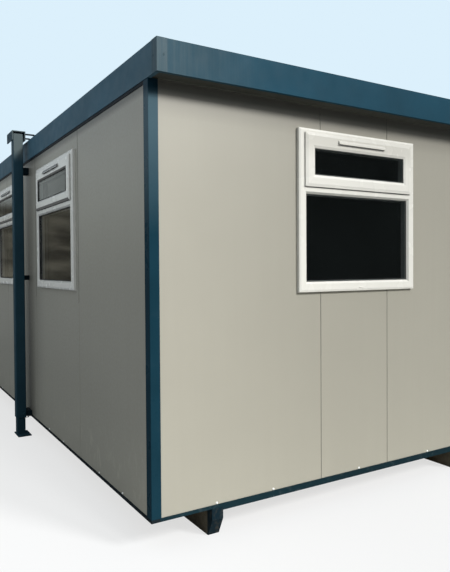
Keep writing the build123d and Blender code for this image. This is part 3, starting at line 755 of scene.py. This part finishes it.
DOOR_SEAL = oblong(-0.003, 0.004, 0, 0.02)  # round the door, behind its face
ALONG_WALL = Matrix(((0, 0, 1), (1, 0, 0), (0, 1, 0))).to_4x4()  # lays an outline's depth along a wall


class CABIN_OT_window_seals(Operator):
    """Black glazing seals round the panes, the seal behind each opening sash and a painted shadow under it"""
    bl_idname = "cabin.window_seals"
    bl_label = "Window seals"

    def execute(self, context):
        s = settings()[1]
        glazing, sashes = Form(), Form()
        for wall, low, high in on_walls(*PANES):
            face, w = low.y, s.seal_width
            proud = END_SEAL_PROUD if wall.is_end else s.seal_proud
            glazing.border(wall, low, high, ((0, face), (0, face - proud), (w * 0.6, face - proud * 0.88),
                                             (w, face - GLAZING_LIP), (w, face)))
        face = min(low.y for wall, low, high in on_walls("window_frames"))
        front, back = (face + y for y in SASH_SHADOW_DEPTH)
        for wall, low, high in on_walls("window_sashes"):
            sashes.border(wall, low, high, [(inset, face + y) for inset, y in SASH_SEAL])
            # black strip just under each sash: painted shadow of the sash
            sashes.slab((low.x + SASH_SHADOW_LAP, front, low.z - s.sash_shadow),
                        (high.x - SASH_SHADOW_LAP, back, low.z + SASH_SHADOW_LAP), wall.place)
        glazing.piece("glazing_seals", "rubber", "black_rubber", smooth=50)
        sashes.piece("sash_seals_and_shadows", "rubber", "black_rubber")
        return {"FINISHED"}


class CABIN_OT_sealed_units(Operator):
    """Two panes, a spacer and edge sealant in place of each solid pane"""
    bl_idname = "cabin.sealed_units"
    bl_label = "Sealed units"

    def execute(self, context):
        s = settings()[1]
        spacers, inner, edges = Form(), Form(), Form()
        for node in PANES:
            outer = Form()
            for wall, low, high in on_walls(node):
                front, back = low.y + s.pane, low.y + s.unit_depth
                sealed = front if wall.is_end else front + s.sealant
                outer.slab(low, (high.x, front, high.z), wall.place)
                inner.slab((low.x, back, low.z), (high.x, back + s.pane, high.z), wall.place)
                spacers.border(wall, low, high, oblong(0, sealed, s.spacer, back))
                if not wall.is_end:
                    edges.border(wall, low, high, oblong(0, front, s.spacer * 1.3, sealed))
            made = outer.piece(node.replace("glass", "outer_panes"), "glass", "glass")
            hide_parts(node)
        # inner panes take the nearly opaque glass that paints the room's shade
        inner.piece("inner_panes", "interior_shade_glass", "glass")
        spacers.piece("pane_spacers", "spacer", "handle_aluminium")
        edges.piece("pane_edge_sealant", "rubber", "black_rubber")
        return {"FINISHED"}


class CABIN_OT_window_details(Operator):
    """Drain caps, vent mouths painted as shade, and welded mitres of the windows"""
    bl_idname = "cabin.window_details"
    bl_label = "Window details"

    def execute(self, context):
        caps, mouths, welds = Form(), Form(), Form()
        half, radius = DRAIN_CAP
        outline = [((half if math.cos(a) > 0 else -half) + radius * math.cos(a), radius * math.sin(a))
                   for a in (2 * math.pi * i / 16 for i in range(16))]
        for wall, low, high in on_walls("window_frames"):
            place = wall.outward((low.x + high.x) / 2, low.y, low.z + DRAIN_HEIGHT)
            caps.skin([[place @ Vector((x * share, y * share, h)) for x, y in outline]
                       for share, h in DRAIN_STEPS])
        for wall, low, high in on_walls("window_vents"):
            # black slab in each vent's mouth: painted shade of the open vent
            mouths.slab(low + VENT_MOUTH[0], Vector((high.x, high.y, low.z)) + VENT_MOUTH[1], wall.place)
        for node, start, end in MITRES:
            for wall, low, high in on_walls(node):
                self.ridges(welds, wall, low, high, start, end)
        caps.piece("drain_caps", "upvc", "white_upvc", smooth=50)
        mouths.piece("vent_mouth_shades", "rubber", "black_rubber")
        welds.piece("mitre_welds", "upvc", "white_upvc")
        return {"FINISHED"}

    def ridges(self, form, wall, low, high, start, end):
        """Fine ridges at 45 degrees across the flat of a frame's corners."""
        half, rise = RIDGE
        out = Vector((0, -rise, 0))
        for sx, x in ((1, low.x), (-1, high.x)):
            for sz, z in ((1, low.z), (-1, high.z)):
                side = Vector((-sz, 0, sx)).normalized() * half
                ends = [Vector((x + sx * reach, low.y, z + sz * reach)) for reach in (start, end)]
                form.skin([[wall.place @ (p + step) for step in (side, out, -side)] for p in ends])


class CABIN_OT_door_fittings(Operator):
    """Hinges, lock, weather bar and seal of the door"""
    bl_idname = "cabin.door_fittings"
    bl_label = "Door fittings"

    def execute(self, context):
        studio = settings()[2]
        wall, low, high = next(on_walls("door_leaf"))
        _, outer_low, outer_high = next(on_walls("door_frame"))
        handle = wall.local(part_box("door_handle"))[0]
        metal, painted, seal = Form(), Form(), Form()
        for z in (low.z + share * (high.z - low.z) for share in HINGE_SHARES):
            pin = wall.at(high.x, outer_low.y, z) @ Matrix.Translation(HINGE_FOOT)
            metal.turned(HINGE_PIN, pin, studio.segments)
            edge = Vector((high.x, low.y, z))
            metal.slab(edge + HINGE_LEAF[0], edge + HINGE_LEAF[1], wall.place)
        lock = Vector((low.x, handle.y, handle.z)) + Vector(LOCK_PLACE)
        metal.turned(LOCK, wall.outward(*lock), LOCK_SIDES)
        inset, up = FOOT_BAR
        painted.prism(WEATHER_BAR, wall.at(low.x + inset, low.y, low.z + up) @ ALONG_WALL,
                      high.x - low.x - 2 * inset)
        back, down, wider = HEAD_BAR
        painted.prism([(x * wider, y) for x, y in WEATHER_BAR],
                      wall.at(outer_low.x, outer_low.y + back, outer_high.z - down) @ ALONG_WALL,
                      outer_high.x - outer_low.x)
        seal.border(wall, low, high, [(inset, low.y + y) for inset, y in DOOR_SEAL])
        metal.piece("door_fittings", "zinc", "zinc_fixings", smooth=40)
        painted.piece("door_weather_bars", "sheet", "blue_paint")
        seal.piece("door_seal", "rubber", "black_rubber")
        return {"FINISHED"}


# --- roof ---
RIB = (-0.030, 0), (-0.018, 1), (0.018, 1), (0.030, 0)  # metres across, share of the rib's height
RIB_MARGIN = 0.03  # rib's end from the skin's edge
RIB_FREE = 0.2  # no rib within this of the skin's ends
RIB_SCREWS = 7
SCREW_MARGIN = 0.12  # first screw from the skin's edge
ROOF_SCREW = (0.008, 0), (0.008, 0.001), (0.005, 0.0015), (0.004, 0.004), (0, 0.005)  # radius, height
ROOF_SCREW_SIDES = 10
FLASHING = (0, 0.001), (0, 0.007), (0.004, 0.008), (0.05, 0.003), (0.05, 0)  # inset, height
RIVET = (1, 0), (0.9, 0.6), (0.5, 1), (0.35, 0.5)  # shares of the rivet's radius and rise
RIVET_RISE = 0.0014  # head's height
RIVET_EDGE = 0.042  # rivet from the corner of its cap
ACROSS_ROOF = Matrix(((1, 0, 0), (0, 0, 1), (0, 1, 0))).to_4x4()  # lays an outline's depth across the roof


class CABIN_OT_roof_sheets(Operator):
    """Lapped roof sheets with ribs, capped screws and an edge flashing inside the fascias"""
    bl_idname = "cabin.roof_sheets"
    bl_label = "Roof sheets"

    def execute(self, context):
        s = settings()[1]
        low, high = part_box("roof_skin")
        ribs, screws, edge = Form(), Form(), Form()
        outline = [(x, up * s.rib_height) for x, up in RIB]
        width = high.y - low.y
        count = int((high.x - RIB_FREE) // s.rib_pitch)
        for x in (i * s.rib_pitch for i in range(-count, count + 1)):
            ribs.prism(outline, Matrix.Translation((x, low.y + RIB_MARGIN, high.z)) @ ACROSS_ROOF,
                       width - 2 * RIB_MARGIN)
            for k in range(RIB_SCREWS):
                y = low.y + SCREW_MARGIN + k * (width - 2 * SCREW_MARGIN) / (RIB_SCREWS - 1)
                screws.turned(ROOF_SCREW, Matrix.Translation((x, y, high.z + s.rib_height)),
                              ROOF_SCREW_SIDES)
        edge.skin([[Vector((x, y, high.z + up)) for x, y in
                    oblong(low.x + inset, low.y + inset, high.x - inset, high.y - inset)]
                   for inset, up in FLASHING], closed=True)
        ribs.piece("roof_ribs", "roof", "roof_membrane")
        screws.piece("roof_screws", "zinc", "zinc_fixings", smooth=40)
        edge.piece("roof_edge_flashing", "roof", "roof_membrane")
        return {"FINISHED"}


class CABIN_OT_fascia_rivets(Operator):
    """Painted rivets in the fascia corner caps"""
    bl_idname = "cabin.fascia_rivets"
    bl_label = "Fascia rivets"

    def execute(self, context):
        _, s, studio = settings()
        form = Form()
        low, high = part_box("fascia_corner_caps")
        z = (low.z + high.z) / 2
        head = [(out * s.rivet / 2, up * RIVET_RISE) for out, up in RIVET]
        for sx, x in ((-1, low.x + RIVET_RISE), (1, high.x - RIVET_RISE)):
            for sy, y in ((-1, low.y + RIVET_RISE), (1, high.y - RIVET_RISE)):
                for place in (Matrix.Translation((x, y - sy * RIVET_EDGE, z))
                              @ Matrix.Rotation(sx * QUARTER_TURN, 4, "Y"),
                              Matrix.Translation((x - sx * RIVET_EDGE, y, z))
                              @ Matrix.Rotation(-sy * QUARTER_TURN, 4, "X")):
                    form.turned(head, place, studio.segments)
        form.piece("fascia_rivets", "cap", "blue_paint", smooth=40)
        return {"FINISHED"}


# --- legs ---
COLUMN_TUBE = 0.045, 0.008  # half width and corner radius
INNER_TUBE = 0.038, 0.006
FOOT_PLATE = 0.010  # its thickness
CLAMP_RISE = 0.032  # clamp bolt above the column's foot
CLAMP_WASHER = 0.002  # its thickness
TIE_SIZE = 0.07, 0.1  # only the roof ties among the brackets are higher and wider than this
TIE_BOLTS = 0.016, 0.044  # from a roof tie's inner edge
TIE_BOLT = 0.016, 0.006  # across its flats, height
TIE_WASHER = 0.011, 0.0015  # radius, thickness
TIE_FACE = 0.008  # top of a tie's foot above its underside


def at_corner(corner):
    """Mirrors a place drawn at the rear right corner to the named one."""
    return Matrix.Diagonal((1 if "right" in corner else -1, 1 if "rear" in corner else -1, 1, 1))


class CABIN_OT_leg_fixings(Operator):
    """Clamp bolts, roof tie bolts and welds of the jacking legs"""
    bl_idname = "cabin.leg_fixings"
    bl_label = "Leg fixings"

    def execute(self, context):
        _, s, studio = settings()
        bolts, clamps, welds = Form(), Form(), Form()
        column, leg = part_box("rear_right_leg_column"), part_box("rear_right_inner_leg")
        middle = (leg[0] + leg[1]) / 2
        face = Matrix.Translation((column[1].x, middle.y, column[0].z + CLAMP_RISE))
        for corner in LEGS:
            clamp = at_corner(corner) @ face @ Matrix.Rotation(QUARTER_TURN, 4, "Y")
            clamps.bolt(s.bolt * 1.2, s.bolt * 0.5, (s.bolt * 0.8, CLAMP_WASHER), clamp, studio.segments)
            under = Matrix.Translation((middle.x, middle.y, column[0].z)) @ Matrix.Diagonal((1, 1, -1, 1))
            welds.fillet(at_corner(corner) @ under, *COLUMN_TUBE, s.weld)
        for low, high in solids("leg_brackets"):
            if high.z - low.z > TIE_SIZE[0] and high.y - low.y > TIE_SIZE[1]:
                side, inner = (1, low.y) if low.y > 0 else (-1, high.y)
                for offset in TIE_BOLTS:
                    x, y = (low.x + high.x) / 2, inner + side * offset
                    bolts.bolt(*TIE_BOLT, TIE_WASHER, Matrix.Translation((x, y, low.z + TIE_FACE)),
                               studio.segments)
        bolts.piece("leg_bolts", "zinc", "zinc_fixings", smooth=35)
        clamps.piece("leg_clamp_bolts", "steel", "blue_paint", smooth=35)
        welds.piece("column_welds", "steel", "blue_paint", smooth=60)
        for corner in LEGS:
            weld = Form()
            foot = Matrix.Translation((middle.x, middle.y, leg[0].z + FOOT_PLATE))
            weld.fillet(at_corner(corner) @ foot, *INNER_TUBE, s.weld)
            weld.piece(f"{corner}_foot_weld", "steel", "blue_paint", f"{corner}_leg", smooth=60)
        return {"FINISHED"}


# --- studio ---
FLOOR_HALF = 60
SUN_FROM = Vector((0.755, 0.43, 0.590))  # from the cabin towards the key light
CORNER_AIM, CORNER_FROM = Vector((4.88, -1.84, 1.55)), Vector((0.755, 0.12, 0.60)).normalized()
CORNER_AWAY, CORNER_SOFT, CORNER_CONE = 10, 1.2, math.radians(14)  # distance, radius and cone
CORNER_STRETCH = Matrix.Diagonal((1, 2, 1, 1))
BOARD_BANDS = 1 / 14, 1 / 14, 1 / 60  # level bands across the mirrored boards
CAMERA_AT = (7.7006, -2.8366, 1.5686)
CAMERA_RIGHT, CAMERA_UP = Vector((0.49837, 0.86693, -0.00737)), Vector((-0.01226, 0.01555, 0.99980))
CAMERA_SHIFT = (0.0454, -0.0134)


def background(studio):
    """Pale background for what is seen and mirrored, and a soft fill from above for the light."""
    world = bpy.data.worlds.new("studio")
    bpy.context.scene.world = world
    world.use_nodes = True
    n = Nodes(world.node_tree, "Generated")
    direction, path = n.split(n.place), n.nodes.new("ShaderNodeLightPath").outputs

    def ramp(axis, start, end):
        return n.spread(direction[axis], 0, 1, start, end, interpolation_type="SMOOTHSTEP")

    seen = n.mix(ramp("Z", 0.02, 0.16), studio.sky_low, studio.sky_high)
    banded = n.spread(n.noise(1, 3, BOARD_BANDS), 0, 1, 0.38, 0.62)
    boards = n.mix(banded, tone(studio.mirror_board, 0.55), tone(studio.mirror_board, 1.45))
    boards = n.mix(ramp("Y", -0.46, -0.30), studio.mirror_low, boards)
    over_boards = n.mix(ramp("Z", 0.095, 0.120), boards, studio.mirror_high)
    between = n.mix(ramp("Z", 0.16, 0.22), over_boards, studio.mirror_mid)
    shaded = n.mix(ramp("Z", 0.26, 0.42), between, studio.sky_high)
    ahead = n.mix(ramp("Z", 0.08, 0.20), studio.mirror_low, studio.sky_high)
    aside = n.mix(ramp("Z", 0.35, 0.60), studio.mirror_low, studio.sky_high)
    sunny = n.mix(ramp("Y", 0.40, 0.60), ahead, aside)
    mirrored = n.mix(ramp("Y", 0.10, 0.30), n.mix(ramp("Y", -0.20, -0.06), shaded, aside), sunny)
    above = n.mix(ramp("Y", -0.5, 0.3), studio.fill_shade, studio.fill_high)
    fill = n.mix(ramp("Z", 0.08, 0.40), studio.fill_low, above)
    around = n.mix(path["Is Glossy Ray"], fill, mirrored)
    shown = n.mix(n.shown_to(path, "Is Transmission Ray"), around, seen)
    n.links.new(shown, n.nodes["Background"].inputs["Color"])


def studio_floor(studio):
    """A wide pale floor that keeps the cabin's shadow and bounces light where it is close to the walls."""
    mesh = bpy.data.meshes.new("studio_floor")
    corners = oblong(-FLOOR_HALF, -FLOOR_HALF, FLOOR_HALF, FLOOR_HALF)
    mesh.from_pydata([(x, y, 0) for x, y in corners], [], [(0, 1, 2, 3)])
    f = Finish("studio_floor", Roughness=0.9, Specular_IOR_Level=0.0)
    path = f.nodes.new("ShaderNodeLightPath").outputs
    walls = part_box("corner_trims")[1]
    beyond = f.vector_maths("SUBTRACT", f.vector_maths("ABSOLUTE", f.place), (walls.x, walls.y, 0))
    away = f.vector_maths("LENGTH", f.vector_maths("MAXIMUM", beyond, (0, 0, 0)))
    past = f.split(beyond)
    past_end = f.spread(f.maths("SUBTRACT", past["X"], past["Y"]), 0, 1, -0.4, 0.4)
    near = f.mix(past_end, studio.side_bounce, studio.end_bounce)
    far = f.mix(past_end, studio.side_far, studio.end_far)
    bounce = f.mix(f.spread(away, 0, 1, 0.5, 2.6), near, far)
    seen = f.shown_to(path, "Is Glossy Ray", "Is Transmission Ray")
    f.drive("Base Color", f.mix(seen, bounce, tone(studio.floor, 1 - studio.floor_glow)))
    f.drive("Emission Strength", path["Is Camera Ray"])
    f.shader.inputs["Emission Color"].default_value = (*tone(studio.floor, studio.floor_glow), 1)
    mesh.materials.append(f.material)
    floor = stand("studio_floor", mesh)


class CABIN_OT_studio(Operator):
    """Floor, background, soft key light and camera"""
    bl_idname = "cabin.studio"
    bl_label = "Studio"

    def execute(self, context):
        studio = settings()[2]
        context.scene.view_settings.view_transform = "Standard"
        background(studio)
        studio_floor(studio)
        key = bpy.data.lights.new("key", "SUN")
        key.energy, key.angle = studio.key_strength, studio.key_softness
        stand("key", key, SUN_FROM.to_track_quat("Z", "Y").to_matrix().to_4x4())
        spot = bpy.data.lights.new("corner_light", "SPOT")
        spot.energy, spot.shadow_soft_size = studio.corner_strength, CORNER_SOFT
        spot.spot_size, spot.spot_blend = CORNER_CONE, 1.0
        stand("corner_light", spot, Matrix.Translation(CORNER_AIM + CORNER_FROM * CORNER_AWAY)
              @ CORNER_FROM.to_track_quat("Z", "Y").to_matrix().to_4x4() @ CORNER_STRETCH)
        data = bpy.data.cameras.new("camera")
        data.lens, data.sensor_width, data.clip_end = studio.lens, 36, 400
        data.shift_x, data.shift_y = CAMERA_SHIFT
        axes = Matrix((CAMERA_RIGHT, CAMERA_UP, CAMERA_RIGHT.cross(CAMERA_UP))).transposed().to_4x4()
        context.scene.camera = stand("camera", data, Matrix.Translation(CAMERA_AT) @ axes)
        return {"FINISHED"}


# --- add-on ---
OPERATORS = (CABIN_OT_finishes, CABIN_OT_wall_screws, CABIN_OT_joint_seals, CABIN_OT_soffit_beads,
             CABIN_OT_window_seals, CABIN_OT_sealed_units, CABIN_OT_window_details, CABIN_OT_door_fittings,
             CABIN_OT_roof_sheets, CABIN_OT_fascia_rivets, CABIN_OT_leg_fixings, CABIN_OT_studio)
GROUPS = {"cabin_colours": CabinColours, "cabin_sizes": CabinSizes, "cabin_studio": CabinStudio}


class CABIN_PT_sidebar(SidebarPanel):
    """Lists the cabin's settings and operators"""
    bl_label = "Site cabin"
    bl_space_type = "VIEW_3D"
    bl_region_type = "UI"
    bl_category = "Cabin"

    def draw(self, context):
        for group in GROUPS:
            values = getattr(context.scene, group)
            box = self.layout.box()
            for prop in values.__annotations__:
                box.prop(values, prop)
        for operator in OPERATORS:
            self.layout.operator(operator.bl_idname)


def register():
    for made in (*GROUPS.values(), *OPERATORS, CABIN_PT_sidebar):
        bpy.utils.register_class(made)
    for name, group in GROUPS.items():
        setattr(bpy.types.Scene, name, PointerProperty(type=group))


def unregister():
    for name in GROUPS:
        delattr(bpy.types.Scene, name)
    for made in (CABIN_PT_sidebar, *reversed(OPERATORS), *GROUPS.values()):
        bpy.utils.unregister_class(made)


def main():
    register()
    for operator in OPERATORS:
        getattr(bpy.ops.cabin, operator.bl_idname.split(".")[1])()


if __name__ == "__main__":
    main()
